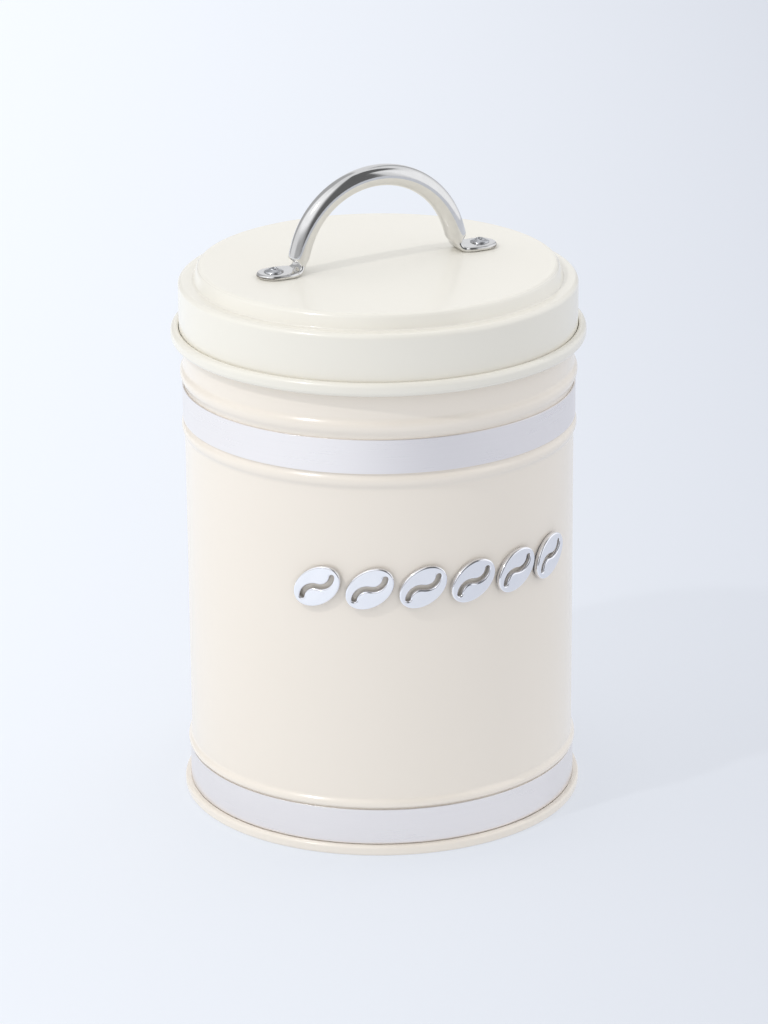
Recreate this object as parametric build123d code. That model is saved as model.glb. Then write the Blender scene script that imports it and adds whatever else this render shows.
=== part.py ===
from build123d import *
import os
from math import asin, atan, cos, degrees, radians, sin

# A round coffee tin of pressed and powder-coated steel sheet, with a lift-off lid.
# Sizes are in millimetres. Z is up, the tin stands on z = 0 and is centred on the Z axis.
# The row of emblems is centred on -Y, and the joints of the wall and the bands are at +Y.

# Sheet and canister wall
SHEET = 0.5                  # thickness of the steel sheet
WALL_R = 52.25               # outside of the plain wall
MOUTH_Z = 141.9              # top of the curled mouth
MOUTH_CURL = 1.3             # outside radius of the mouth's inward curl
CURL_TURN = 250              # how far the mouth's curl is rolled, degrees
SIDE_SEAM_W = 3.4            # lap of the welded side seam
SIDE_SEAM_RISE = 0.22        # how proud the lap stands

# Base and its rolled seam
SEAM_OUT = 2.05              # how far the rolled base seam stands out from the wall
SEAM_H = 2.75                # height of the rolled base seam
SEAM_BEND = 0.6              # bends of the rolled seam, middle of the sheet
FLANGE_Z = 1.35              # middle of the wall's flange inside the seam
FLANGE_GAP = 0.5             # from the flange's edge to the seam's outer layer
HOOK_GAP = 0.25              # from the wall to the edge that hooks over the flange
PANEL_Z = 3.35               # middle of the raised base panel
PANEL_STEP = 0.9             # depth of the stiffening step in the base panel
PANEL_STEP_IN = 11.0         # from the inside of the wall to that step
PANEL_STEP_RUN = 2.0         # width of the step's slope

# Bands and the beads that frame them
BAND_T = 0.4                 # thickness of the stainless strip
BAND_FIT = 0.05              # gap between the strip and the wall
BAND_JOINT = 0.6             # gap between the strip's two ends
BAND_GAP = 0.15              # gap between a strip and a bead or the base seam
LOWER_BAND_W = 9.8
UPPER_BAND_W = 9.2
UPPER_BAND_DROP = 35.1       # from the mouth down to the upper strip's lower edge
LOW_BEAD = (1.1, 2.1, 0.9)   # below and above its crest, and rise, of the bead above the lower strip
MID_BEAD = (2.6, 2.1, 0.8)   # of the bead below the upper strip
TOP_BEAD = (3.1, 2.5, 0.95)  # of the bead above the upper strip

# Lid and its seal
LID_FIT = 0.53               # gap between the wall and the lid's skirt
LID_DEPTH = 16.15            # from the lid's ledge to the bottom of its rolled edge
LID_STEP = 3.9               # from the ledge up to the top panel
LEDGE_W = 4.1                # from the skirt to the foot of the step
STEP_LEAN = 1.45             # how far the step leans inwards
STEP_BENDS = (1.2, 0.8)      # bends at the top and the foot of the step
SHOULDER = 1.35              # bend between ledge and skirt
LID_ROLL = 2.22              # width of the rolled edge, between middles of the sheet
LID_ROLL_RISE = 0.95         # straight part of the rolled edge
LID_ROLL_TURN = 115          # how far the edge rolls back in at its top, degrees
SEAL_T = 1.4                 # thickness of the seal
SEAL_W = 3.5                 # width of the seal
SEAL_EDGE = 0.4              # rounding of the seal's edges
SEAL_GAP = 0.3               # gap above, below and outside the seal

# Handle and rivets
LID_TURNED = 6.8             # the lid's handle is turned this far from the emblem row, degrees
HANDLE_R = 23.4              # middle of the tube's arch
HANDLE_LIFT = 0.3            # centre of the arch above the lid
TUBE_D = 5.7
TUBE_WALL = 0.7
ROUND_TO = 17                # the tube is round down to this angle of the arch, degrees
LUG_W = 9.2                  # width of the flattened tube
LUG_T = 1.4                  # thickness of the flattened tube, two layers of wall
LUG_BEND = 1.6               # bend of the flattened tube, middle of its thickness
PRESSING = ((0, 0), (0.4, 0.15), (0.75, 0.6), (1, 1))  # how far down the leg, and how flat it is there
RIVET_OUT = 7.1              # from the tube's middle at the lid out to the rivet
RIVET_D = 2.9                # shank
RIVET_FIT = 0.05             # gap between the shank and its holes
RIVET_HEAD_D = 5.2
RIVET_HEAD_H = 0.95
RIVET_RIM_H = 0.15           # straight rim of the head
DOME_FULLNESS = 0.75         # height of the dome half way out, as a share of the head's
RIVET_TAIL_D = 4.4           # swollen end below the lid
RIVET_TAIL_H = 2.0
RIVET_SOCKET_D = 1.7         # hole down the middle, left by the pulled mandrel
MANDREL_SUNK = 0.7           # from the head's top down to the broken mandrel
MANDREL_HEAD_D = 2.7
MANDREL_HEAD_H = 1.1

# Emblems: coffee beans with a curved crease, on foam pads
EMBLEM_COUNT = 6
EMBLEM_PITCH = 15.0          # degrees
EMBLEM_DROP = 31.3           # from the upper strip's lower edge down to the emblems' middle
EMBLEM_LONG = 7.0            # half length of a bean
EMBLEM_SHORT = 4.9           # half width of a bean
EMBLEM_TILT = 35             # degrees from the horizontal
EMBLEM_T = 1.3
EMBLEM_BEVEL = 0.45
CREASE_SHARE = 0.72          # half length of the crease, as a share of the bean's
CREASE_SWING = 1.1           # how far the crease swings to each side
CREASE_W = 1.3
PAD_T = 0.4                  # thickness of the foam at its thinnest
PAD_INSET = 0.5              # the foam's edge stays this far inside the bean's

# Places that follow from the sizes above
WALL_MID = WALL_R - SHEET / 2
WALL_IN = WALL_R - SHEET
SEAM_R = WALL_R + SEAM_OUT
LOWER_BAND_Z = SEAM_H + BAND_GAP
UPPER_BAND_Z = MOUTH_Z - UPPER_BAND_DROP
LOW_BEAD_Z = LOWER_BAND_Z + LOWER_BAND_W + BAND_GAP + LOW_BEAD[0]
MID_BEAD_Z = UPPER_BAND_Z - BAND_GAP - MID_BEAD[1]
TOP_BEAD_Z = UPPER_BAND_Z + UPPER_BAND_W + BAND_GAP + TOP_BEAD[0]
SKIRT_MID = WALL_R + LID_FIT + SHEET / 2
SKIRT_R = SKIRT_MID + SHEET / 2
SEAL_Z = MOUTH_Z + SEAL_GAP
LEDGE_TOP = SEAL_Z + SEAL_T + SEAL_GAP + SHEET
LID_TOP = LEDGE_TOP + LID_STEP
EMBLEM_Z = UPPER_BAND_Z - EMBLEM_DROP
EMBLEM_BACK = WALL_R + PAD_T
ARCH_Z = LID_TOP + HANDLE_LIFT
RIVET_X = HANDLE_R + RIVET_OUT


def sheet_section(path):
    """Section of bent sheet: the path is the sheet's middle, and its two edges are rounded."""
    return Face(Wire(path).offset_2d(SHEET / 2))


def turned(section, degrees_round=360):
    """Turns a section, drawn with x as radius and y as height, about the Z axis."""
    return revolve(Plane.XZ * section, Axis.Z, degrees_round)


def bead(radius, z, size):
    """Four arcs, two below the crest and two above, that swell a wall outwards and back."""
    below, above, rise = size
    crest = (radius + rise, z)
    arcs = []
    for side, half in ((-1, below), (1, above)):
        sweep_angle = 2 * atan(rise / half)
        arc_r = half / (2 * sin(sweep_angle))
        out = arc_r * (1 - cos(sweep_angle / 2))
        up = arc_r * sin(sweep_angle / 2)
        foot = (radius, z + side * half)
        between = (radius + rise / 2, z + side * half / 2)
        arcs.append(ThreePointArc(foot, (radius + out, z + side * (half - up)), between))
        arcs.append(ThreePointArc(between, (radius + rise - out, z + side * up), crest))
    return arcs


def wall_section():
    """Wall from the flange in the base seam, over three beads, to the curled mouth."""
    low = bead(WALL_MID, LOW_BEAD_Z, LOW_BEAD)
    mid = bead(WALL_MID, MID_BEAD_Z, MID_BEAD)
    top = bead(WALL_MID, TOP_BEAD_Z, TOP_BEAD)
    flange_r = SEAM_R - SHEET - FLANGE_GAP - SHEET / 2
    flange = FilletPolyline(
        (flange_r, FLANGE_Z), (WALL_MID, FLANGE_Z), (WALL_MID, LOW_BEAD_Z - LOW_BEAD[0]), radius=SEAM_BEND)
    curl_r = MOUTH_CURL - SHEET / 2
    curl_z = MOUTH_Z - MOUTH_CURL
    curl = CenterArc((WALL_MID - curl_r, curl_z), curl_r, 0, CURL_TURN)
    lower = Line((WALL_MID, LOW_BEAD_Z + LOW_BEAD[1]), (WALL_MID, MID_BEAD_Z - MID_BEAD[0]))
    upper = Line((WALL_MID, MID_BEAD_Z + MID_BEAD[1]), (WALL_MID, TOP_BEAD_Z - TOP_BEAD[0]))
    neck = Line((WALL_MID, TOP_BEAD_Z + TOP_BEAD[1]), (WALL_MID, curl_z))
    return sheet_section([*flange.edges(), *low, lower, *mid, upper, *top, neck, curl])


def body_wall():
    """Rolled wall with a lapped side seam that runs from the low bead to the middle one."""
    seam_low = LOW_BEAD_Z + LOW_BEAD[1]
    seam_high = MID_BEAD_Z - MID_BEAD[0]
    lap = Pos(WALL_R + SIDE_SEAM_RISE / 2 - SHEET / 4, (seam_low + seam_high) / 2) * Rectangle(
        SIDE_SEAM_RISE + SHEET / 2, seam_high - seam_low)
    lap_angle = degrees(SIDE_SEAM_W / WALL_R)
    side_seam = Rot(0, 0, 90 - lap_angle / 2) * turned(lap, lap_angle)
    return turned(wall_section()) + side_seam


def pan_section():
    """Base: raised panel with a stiffening step, and a rim rolled round the wall's flange."""
    chuck_r = WALL_IN - SHEET / 2
    rim_r = SEAM_R - SHEET / 2
    step_r = WALL_IN - PANEL_STEP_IN
    low = PANEL_Z - PANEL_STEP
    path = FilletPolyline(
        (-PANEL_STEP_RUN, low),
        (step_r - PANEL_STEP_RUN, low),
        (step_r, PANEL_Z),
        (chuck_r, PANEL_Z),
        (chuck_r, SHEET / 2),
        (rim_r, SHEET / 2),
        (rim_r, SEAM_H - SHEET / 2),
        (WALL_R + HOOK_GAP + SHEET / 2, SEAM_H - SHEET / 2),
        radius=SEAM_BEND)
    outer_half = Pos(SEAM_R, 0) * Rectangle(2 * SEAM_R, 4 * SEAM_R)
    return sheet_section(path.edges()) & outer_half


def base_seam_sealant():
    """Ring of compound that fills the rolled seam around the wall's flange."""
    inner = WALL_IN
    outer = SEAM_R - SHEET
    low = SHEET
    high = SEAM_H - SHEET
    section = Pos((inner + outer) / 2, (low + high) / 2) * Rectangle(outer - inner, high - low)
    filling = section - wall_section() - pan_section()
    return turned(filling.faces().sort_by(SortBy.AREA)[-1])


def band(z, width):
    """Stainless strip wrapped round the wall, with its two ends facing each other at +Y."""
    inner = WALL_R + BAND_FIT
    section = Pos(inner + BAND_T / 2, z + width / 2) * Rectangle(BAND_T, width)
    joint_angle = degrees(BAND_JOINT / inner)
    return Rot(0, 0, 90 + joint_angle / 2) * turned(section, 360 - joint_angle)


def lid_shell(holes):
    """Pressed lid: flat panel, leaning step, ledge, skirt and an edge rolled outwards and up."""
    panel_z = LID_TOP - SHEET / 2
    ledge_z = LEDGE_TOP - SHEET / 2
    foot_r = SKIRT_R - LEDGE_W
    roll_r = LID_ROLL / 2
    roll_z = LEDGE_TOP - LID_DEPTH + SHEET / 2 + roll_r
    top_path = FilletPolyline(
        (-SHEET, panel_z),
        (foot_r - STEP_LEAN, panel_z),
        (foot_r, ledge_z),
        (SKIRT_MID, ledge_z),
        (SKIRT_MID, roll_z),
        radius=[STEP_BENDS[0], STEP_BENDS[1], SHOULDER - SHEET / 2])
    centre_r = SKIRT_MID + roll_r
    under = CenterArc((centre_r, roll_z), roll_r, 180, 180)
    outside = Line((centre_r + roll_r, roll_z), (centre_r + roll_r, roll_z + LID_ROLL_RISE))
    over = CenterArc((centre_r, roll_z + LID_ROLL_RISE), roll_r, 0, LID_ROLL_TURN)
    section = sheet_section([*top_path.edges(), under, outside, over])
    outer_half = Pos(2 * WALL_R, LID_TOP) * Rectangle(4 * WALL_R, 2 * LID_TOP)
    return turned(section & outer_half) - holes


def lid_seal():
    """Flat silicone ring between the curled mouth and the lid's ledge."""
    outer = WALL_R + LID_FIT - SEAL_GAP
    section = Pos(outer - SEAL_W / 2, SEAL_Z + SEAL_T / 2) * RectangleRounded(SEAL_W, SEAL_T, SEAL_EDGE)
    return turned(section)


def handle_leg():
    """One end of the handle on +X: round tube pressed flat, bent outwards and ending in a round lug."""
    bend_top = LID_TOP + LUG_T / 2 + LUG_BEND
    flat_angle = asin((bend_top - ARCH_Z) / HANDLE_R)
    sections = []
    for share, pressed_share in PRESSING:
        angle = radians(ROUND_TO) * (1 - share) + flat_angle * share
        lean = radians(ROUND_TO) * (1 - share)
        across = TUBE_D + (LUG_W - TUBE_D) * pressed_share
        thick = TUBE_D + (LUG_T - TUBE_D) * pressed_share
        x = HANDLE_R * (cos(angle) if share < 1 else 1)
        plane = Plane(origin=(x, 0, ARCH_Z + HANDLE_R * sin(angle)), x_dir=(0, 1, 0), z_dir=(sin(lean), 0, -cos(lean)))
        sections.append(plane * Ellipse(across / 2, thick / 2))
    pressed = loft(sections)
    bend_centre = (HANDLE_R + LUG_BEND, bend_top)
    bend_path = Plane.XZ * CenterArc(bend_centre, LUG_BEND, 180, 90)
    bend = sweep(sections[-1], path=bend_path)
    plate_start = HANDLE_R + LUG_BEND
    outline = Pos((plate_start + RIVET_X) / 2, 0) * Rectangle(RIVET_X - plate_start, LUG_W)
    outline += Pos(RIVET_X, 0) * Circle(LUG_W / 2)
    plate = Pos(0, 0, LID_TOP) * extrude(outline, LUG_T)
    return pressed + bend + plate


def handle_tube(holes):
    """Tube bent to an arch, hollow where it is round, with its flattened ends riveted to the lid."""
    arc_size = 180 - 2 * ROUND_TO
    arch = Plane.XZ * CenterArc((0, ARCH_Z), HANDLE_R, ROUND_TO, arc_size)
    start = Plane(origin=arch @ 0, z_dir=arch % 0)
    skin = sweep(start * Circle(TUBE_D / 2), path=arch)
    leg = handle_leg()
    whole = skin + leg + mirror(leg, Plane.YZ)
    inside = sweep(start * Circle(TUBE_D / 2 - TUBE_WALL), path=arch)
    return whole - inside - holes


def rivet_section(head_z):
    """Half section of a set blind rivet: domed head, shank, swollen tail and a hole down its middle."""
    head_r = RIVET_HEAD_D / 2
    shank_r = RIVET_D / 2
    tail_r = RIVET_TAIL_D / 2
    hole_r = RIVET_SOCKET_D / 2
    top = head_z + RIVET_HEAD_H
    tail_top = LID_TOP - SHEET - RIVET_FIT
    tail_low = tail_top - RIVET_TAIL_H
    dome = ThreePointArc(
        (hole_r, top),
        ((hole_r + head_r) / 2, head_z + RIVET_HEAD_H * DOME_FULLNESS),
        (head_r, head_z + RIVET_RIM_H))
    swell = ThreePointArc((shank_r, tail_top), (tail_r, (tail_top + tail_low) / 2), (shank_r, tail_low))
    lines = [
        dome,
        Line((head_r, head_z + RIVET_RIM_H), (head_r, head_z)),
        Line((head_r, head_z), (shank_r, head_z)),
        Line((shank_r, head_z), (shank_r, tail_top)),
        swell,
        Line((shank_r, tail_low), (hole_r, tail_low)),
        Line((hole_r, tail_low), (hole_r, top)),
    ]
    return make_face(lines)


def rivet():
    """Blind rivet at the origin of its own axis, set through the lug and the lid."""
    return turned(rivet_section(LID_TOP + LUG_T + RIVET_FIT))


def mandrel():
    """Broken mandrel left in a blind rivet: a pin in the hole, and its head under the tail."""
    tail_low = LID_TOP - SHEET - RIVET_FIT - RIVET_TAIL_H
    top = LID_TOP + LUG_T + RIVET_FIT + RIVET_HEAD_H - MANDREL_SUNK
    pin_r = RIVET_SOCKET_D / 2 - RIVET_FIT
    pin = Pos(0, 0, (top + tail_low) / 2) * Cylinder(pin_r, top - tail_low)
    head = Pos(0, 0, tail_low - MANDREL_HEAD_H / 2) * Cylinder(MANDREL_HEAD_D / 2, MANDREL_HEAD_H)
    head = fillet(head.edges().group_by(Axis.Z)[0], MANDREL_HEAD_H / 3)
    return pin + head


def at_rivet(side, shape):
    """Places a shape at the left (-1) or right (+1) rivet of the turned lid."""
    return Rot(0, 0, LID_TURNED) * Pos(side * RIVET_X, 0, 0) * shape


def crease(width):
    """Outline of the bean's crease: two arcs that make an S, given a width."""
    reach = EMBLEM_LONG * CREASE_SHARE
    path = [
        ThreePointArc((-reach, 0), (-reach / 2, CREASE_SWING), (0, 0)),
        ThreePointArc((0, 0), (reach / 2, -CREASE_SWING), (reach, 0)),
    ]
    return Face(Wire(path).offset_2d(width / 2))


def at_emblem(index, shape):
    """Places a shape drawn on the emblem's back plane, tilted, at one place of the row."""
    angle = (index - (EMBLEM_COUNT - 1) / 2) * EMBLEM_PITCH
    upright = Pos(0, -EMBLEM_BACK, EMBLEM_Z) * Rot(90, 0, 0)
    return Rot(0, 0, angle) * upright * Rot(0, 0, EMBLEM_TILT) * shape


def emblem_bean():
    """Flat-backed bean with a bevelled rim and a crease cut through it."""
    outline = Ellipse(EMBLEM_LONG, EMBLEM_SHORT) - crease(CREASE_W)
    bean = extrude(outline, EMBLEM_T)
    return chamfer(bean.faces().sort_by(Axis.Z)[-1].edges(), EMBLEM_BEVEL)


def emblem_pad(index):
    """Foam pad behind a bean: flat in front, and curved to the wall behind."""
    outline = Ellipse(EMBLEM_LONG - PAD_INSET, EMBLEM_SHORT - PAD_INSET) - crease(CREASE_W + 2 * PAD_INSET)
    block = at_emblem(index, extrude(outline, -EMBLEM_LONG))
    return block - Pos(0, 0, EMBLEM_Z) * Cylinder(WALL_R, 4 * EMBLEM_LONG)


def build():
    """Every piece by its node name."""
    hole = Pos(0, 0, LID_TOP) * Cylinder(RIVET_D / 2 + RIVET_FIT, 4 * RIVET_D)
    holes_in_line = Pos(RIVET_X, 0, 0) * hole + Pos(-RIVET_X, 0, 0) * hole
    to_lid = Rot(0, 0, LID_TURNED)
    pieces = {
        "body_wall": body_wall(),
        "base_pan": turned(pan_section()),
        "base_seam_sealant": base_seam_sealant(),
        "lower_band": band(LOWER_BAND_Z, LOWER_BAND_W),
        "upper_band": band(UPPER_BAND_Z, UPPER_BAND_W),
        "lid_shell": to_lid * lid_shell(holes_in_line),
        "lid_seal": lid_seal(),
        "handle_tube": to_lid * handle_tube(holes_in_line),
    }
    for side, name in ((-1, "left"), (1, "right")):
        pieces["rivet_" + name] = at_rivet(side, rivet())
        pieces["rivet_mandrel_" + name] = at_rivet(side, mandrel())
    for index in range(EMBLEM_COUNT):
        pieces[f"emblem_bean_{index + 1}"] = at_emblem(index, emblem_bean())
        pieces[f"emblem_pad_{index + 1}"] = emblem_pad(index)
    return pieces


os.makedirs("parts", exist_ok=True)
for name, piece in build().items():
    export_step(piece, f"parts/{name}.step")
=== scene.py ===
from math import acos, atan2, cos, degrees, pi, radians, sin

import bmesh
import bpy
import numpy as np
from mathutils import Matrix, Vector


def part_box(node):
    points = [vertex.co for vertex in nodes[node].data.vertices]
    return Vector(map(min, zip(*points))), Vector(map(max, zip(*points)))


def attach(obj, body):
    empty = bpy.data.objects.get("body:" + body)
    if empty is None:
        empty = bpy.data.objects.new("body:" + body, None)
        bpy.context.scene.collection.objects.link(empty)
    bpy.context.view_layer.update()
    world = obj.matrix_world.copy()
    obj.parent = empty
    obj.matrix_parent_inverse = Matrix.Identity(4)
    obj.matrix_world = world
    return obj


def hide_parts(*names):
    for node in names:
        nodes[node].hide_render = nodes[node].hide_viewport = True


# A round coffee tin of powder-coated steel with a lift-off lid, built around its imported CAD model.
# Lengths in the CAD frame are metres. A size below is in millimetres and times MM where it is used.

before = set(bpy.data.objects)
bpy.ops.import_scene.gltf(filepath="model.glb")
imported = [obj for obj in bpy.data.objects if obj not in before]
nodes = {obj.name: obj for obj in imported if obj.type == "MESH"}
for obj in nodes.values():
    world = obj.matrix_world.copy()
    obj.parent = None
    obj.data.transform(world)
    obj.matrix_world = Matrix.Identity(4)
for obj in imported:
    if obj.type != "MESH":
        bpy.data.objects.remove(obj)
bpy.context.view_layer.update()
MM = 0.001

# --------------------------------------------------------------------------- sizes

# Sheet metal, in millimetres
SHEET = 0.5                  # thickness of the sheet
MOUTH_CURL = 1.3             # outside radius of the mouth's inward curl
CURL_TURN = 250              # how far the curl is rolled, degrees
SIDE_SEAM_W = 3.4            # lap of the welded side seam
SIDE_SEAM_RISE = 0.22        # how proud the lap stands
SIDE_SEAM_EDGE = 0.24        # width of the slope at each edge of the lap
SEAM_BEND = 0.6              # bends of the rolled base seam, middle of the sheet
FLANGE_GAP = 0.5             # from the flange's edge to the seam's outer layer
FLANGE_Z = 1.35              # middle of the wall's flange
HOOK_GAP = 0.25              # from the wall to the edge hooked over the flange
PANEL_STEP = 0.9             # step in the base panel
PANEL_STEP_IN = 11.0         # from the inside of the wall to that step
PANEL_STEP_RUN = 2.0         # width of the step's slope
BAND_GAP = 0.15              # gap between a strip and a bead or the base seam
BAND_JOINT = 0.6             # gap between a strip's two ends
BAND_EDGE = 0.09             # rounding of a strip's slit edges
BAND_FIT = 0.05              # gap between the strips and the wall
LOW_BEAD = (1.1, 2.1, 0.9)   # below and above its crest, and rise, of the bead above the lower strip
MID_BEAD = (2.6, 2.1, 0.8)   # of the bead below the upper strip
TOP_BEAD = (3.1, 2.5, 0.95)  # of the bead above the upper strip
LID_STEP = 3.9               # from the lid's ledge up to its panel
LEDGE_W = 4.1                # from the skirt to the foot of the step
STEP_LEAN = 1.45             # how far the step leans inwards
STEP_BENDS = (1.2, 0.8)      # bends at the top and the foot of the step
SHOULDER = 1.35              # bend between ledge and skirt
LID_ROLL = 2.22              # width of the lid's rolled edge, between middles of the sheet
LID_ROLL_RISE = 0.95         # straight part of the rolled edge
LID_ROLL_TURN = 115          # how far the edge rolls back in, degrees

# Handle, in millimetres
TUBE_R = 2.85
ROUND_TO = 17                # the legs follow the arch's circle down to this angle, degrees, then straighten
LUG_HALF_W = 4.6             # half width of the flattened tube
LUG_HALF_T = 0.7             # half thickness of the flattened tube
LUG_BEND = 1.6               # bend of the flattened tube, middle of its thickness
CUT_SHADE_LINE = 0.25              # half height of the painted shade line in the gap between the two layers at the cut end

# Where the tube is pressed, from and to, along its path below the arch's foot, in millimetres
FLATTEN_OUTSIDE = (-2.1, -0.2)
FLATTEN_INSIDE = (-2.6, 1.4)
WIDEN = (-0.8, 5.2)
HOLLOW_BEGINS = (-1.7, -0.4)
HOLLOW_ENDS = (-0.6, 1.8)
HOLLOW = 0.9                 # depth of the hollow pressed into the outer side above the bend

# Rivets, in millimetres
RIVET_OUT = 7.1              # from the arch's foot to the rivet
RIVET_HEAD_R = 2.6
RIVET_RIM = 0.15             # straight edge of the head
RIVET_DOME_R = 4.465         # how round the head's top is
RIVET_SHANK_R = 1.45
RIVET_TAIL_R = 2.2           # swollen end below the lid
RIVET_TAIL_H = 2.0
RIVET_SOCKET_R = 0.85        # hole down the middle
RIVET_LIP = 0.12             # bevel at the top of that hole

# Emblems, in millimetres
EMBLEM_LONG = 7.0            # half length of a bean
EMBLEM_SHORT = 4.9           # half width of a bean
EMBLEM_T = 1.3               # thickness
EMBLEM_TILT = 35             # degrees
EMBLEM_BEVEL = 0.45
CREASE_SHARE = 0.72          # half length of the crease, as a share of the bean's
CREASE_SWING = 1.1           # how far the crease's S swings to each side
CREASE_W = 1.3

# How finely surfaces are drawn
ROUND_STEPS = 320            # steps round the tin
TUBE_STEPS = 56              # steps round the handle's tube
RIVET_STEPS = 64             # steps round a rivet
ARC_STEP = radians(9)        # one step of a bend in a section
END_STEPS = 8                # steps of the half circle at the end of a sheet
SUPPORT = 0.12               # a straight run of a section has a ring this close to each of its ends, mm
MERGE = 1e-7                 # points closer than this become one, metres


def node_points(node):
    """A node's vertices, in millimetres."""
    co = np.empty(len(nodes[node].data.vertices) * 3)
    nodes[node].data.vertices.foreach_get("co", co)
    return co.reshape(-1, 3) / MM


def ring_radii(node):
    """Smallest and largest distance of a node's vertices from the Z axis, in millimetres."""
    x, y, _ = node_points(node).T
    r = np.hypot(x, y)
    return r.min(), r.max()


def low_z(node):
    """Height of a node's lowest point, in millimetres."""
    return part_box(node)[0].z / MM


def high_z(node):
    """Height of a node's highest point, in millimetres."""
    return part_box(node)[1].z / MM


def middle(node):
    """Middle of a node's box, in metres."""
    low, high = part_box(node)
    return (low + high) / 2


WALL_R = ring_radii("upper_band")[0] - BAND_FIT
BAND_R = ring_radii("upper_band")[1]
SEAM_R = ring_radii("base_pan")[1]
SEAM_H = low_z("lower_band") - BAND_GAP
PANEL_Z = high_z("base_pan") - SHEET / 2
MOUTH_Z = high_z("body_wall")
LID_R = ring_radii("lid_shell")[1]
LID_TOP = high_z("lid_shell")
LID_LOW = low_z("lid_shell")
RIVET_LEFT, RIVET_RIGHT = middle("rivet_left"), middle("rivet_right")
RIVET_X = (RIVET_RIGHT - RIVET_LEFT).length / 2 / MM
LID_TURNED = atan2(RIVET_RIGHT.y - RIVET_LEFT.y, RIVET_RIGHT.x - RIVET_LEFT.x)
HANDLE_R = RIVET_X - RIVET_OUT
ARCH_Z = high_z("handle_tube") - TUBE_R - HANDLE_R
LUG_MID_Z = LID_TOP + LUG_HALF_T
EMBLEM_COUNT = sum(name.startswith("emblem_bean_") for name in nodes)

WALL_MID = WALL_R - SHEET / 2
WALL_IN = WALL_R - SHEET
SKIRT_MID = LID_R - SHEET / 2 - LID_ROLL
LEDGE_TOP = LID_TOP - LID_STEP
LOW_BEAD_Z = high_z("lower_band") + BAND_GAP + LOW_BEAD[0]
MID_BEAD_Z = low_z("upper_band") - BAND_GAP - MID_BEAD[1]
TOP_BEAD_Z = high_z("upper_band") + BAND_GAP + TOP_BEAD[0]


# --------------------------------------------------------------------------- section lines

def corner_path(points, radii):
    """Polyline with rounded corners: each inner point is replaced by the arc of its radius that touches both
    runs."""
    points = [np.array(p, float) for p in points]
    path = [points[0]]
    for before, corner, after, radius in zip(points, points[1:], points[2:], radii):
        a = (before - corner) / np.linalg.norm(before - corner)
        b = (after - corner) / np.linalg.norm(after - corner)
        half = np.arccos(np.clip(a @ b, -1, 1)) / 2
        centre = corner + (a + b) / np.linalg.norm(a + b) * radius / np.sin(half)
        start = corner + a * radius / np.tan(half)
        end = corner + b * radius / np.tan(half)
        first = np.arctan2(*(start - centre)[::-1])
        swing = (np.arctan2(*(end - centre)[::-1]) - first + pi) % (2 * pi) - pi
        steps = max(3, int(np.ceil(abs(swing) / ARC_STEP)))
        angle = first + swing * np.linspace(0, 1, steps + 1)
        path.extend(centre + radius * np.stack([np.cos(angle), np.sin(angle)], -1))
    path.append(points[-1])
    return np.array(path)


def arc_path(centre, radius, start, size):
    """Arc about a centre, from an angle through a size, both in degrees."""
    steps = max(3, int(np.ceil(abs(radians(size)) / ARC_STEP)))
    angle = np.radians(np.linspace(start, start + size, steps + 1))
    return np.array(centre) + radius * np.stack([np.cos(angle), np.sin(angle)], -1)


def bead_path(radius, z, size):
    """Swells a wall out and back. Each side has two arcs: with a = 2 atan(rise / half), both turn through a
    and have radius half / (2 sin a)."""
    below, above, rise = size
    path = []
    for side, half in ((-1, below), (1, above)):
        turn = 2 * np.arctan(rise / half)
        arc_r = half / (2 * sin(turn))
        foot = arc_path((radius + arc_r, z + side * half), arc_r, 180, side * np.degrees(turn))
        crown = arc_path((radius + rise - arc_r, z), arc_r, 0, side * np.degrees(turn))
        path += [foot, crown[::-1]] if side < 0 else [crown, foot[::-1]]
    return np.concatenate(path)


def tidy_path(path, support=SUPPORT):
    """Drops doubled points, and puts a point near both ends of each long straight run, so that shading stays
    true."""
    keep = np.r_[True, np.linalg.norm(np.diff(path, axis=0), axis=1) > MERGE / MM]
    path = path[keep]
    run = np.linalg.norm(np.diff(path, axis=0), axis=1)
    out = [path[0]]
    for a, b, length in zip(path[:-1], path[1:], run):
        if length > 5 * support:
            out.append(a + (b - a) * support / length)
            out.append(b - (b - a) * support / length)
        out.append(b)
    return np.array(out)


def unit_tangents(path):
    """Direction at each point of a path: the mean of the unit directions of the runs before and after it."""
    run = np.diff(path, axis=0)
    run /= np.linalg.norm(run, axis=1)[:, None]
    along = np.concatenate([run[:1], run[:-1] + run[1:], run[-1:]])
    return along / np.linalg.norm(along, axis=1)[:, None]


def sheet_outline(path, half=SHEET / 2):
    """Closed outline of bent sheet: the path moved by half a thickness to each side, joined by round ends."""
    along = unit_tangents(path)
    aside = np.stack([along[:, 1], -along[:, 0]], -1)
    cap = np.radians(np.linspace(0, 180, END_STEPS + 1))[1:-1, None]
    end = path[-1] + half * (np.cos(cap) * aside[-1] + np.sin(cap) * along[-1])
    start = path[0] - half * (np.cos(cap) * aside[0] + np.sin(cap) * along[0])
    return np.concatenate([path + half * aside, end, (path - half * aside)[::-1], start])


def rounded_box(low_r, high_r, low, high, edge):
    """Outline of a strip's section: a box with rounded corners."""
    corners = [(high_r - edge, low + edge, -90), (high_r - edge, high - edge, 0),
               (low_r + edge, high - edge, 90), (low_r + edge, low + edge, 180)]
    return np.concatenate([arc_path((r, z), edge, start, 90) for r, z, start in corners])


# --------------------------------------------------------------------------- meshes

def quads(rows, columns, close_rows=True):
    """Four-sided faces of a grid of points. Its last column joins the first, and its last row may too."""
    first_rows = np.arange(rows if close_rows else rows - 1)
    i, j = np.meshgrid(first_rows, np.arange(columns), indexing="ij")
    up, on = (i + 1) % rows, (j + 1) % columns
    faces = np.stack([i * columns + j, up * columns + j, up * columns + on, i * columns + on], -1)
    return faces.reshape(-1, 4)


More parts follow.
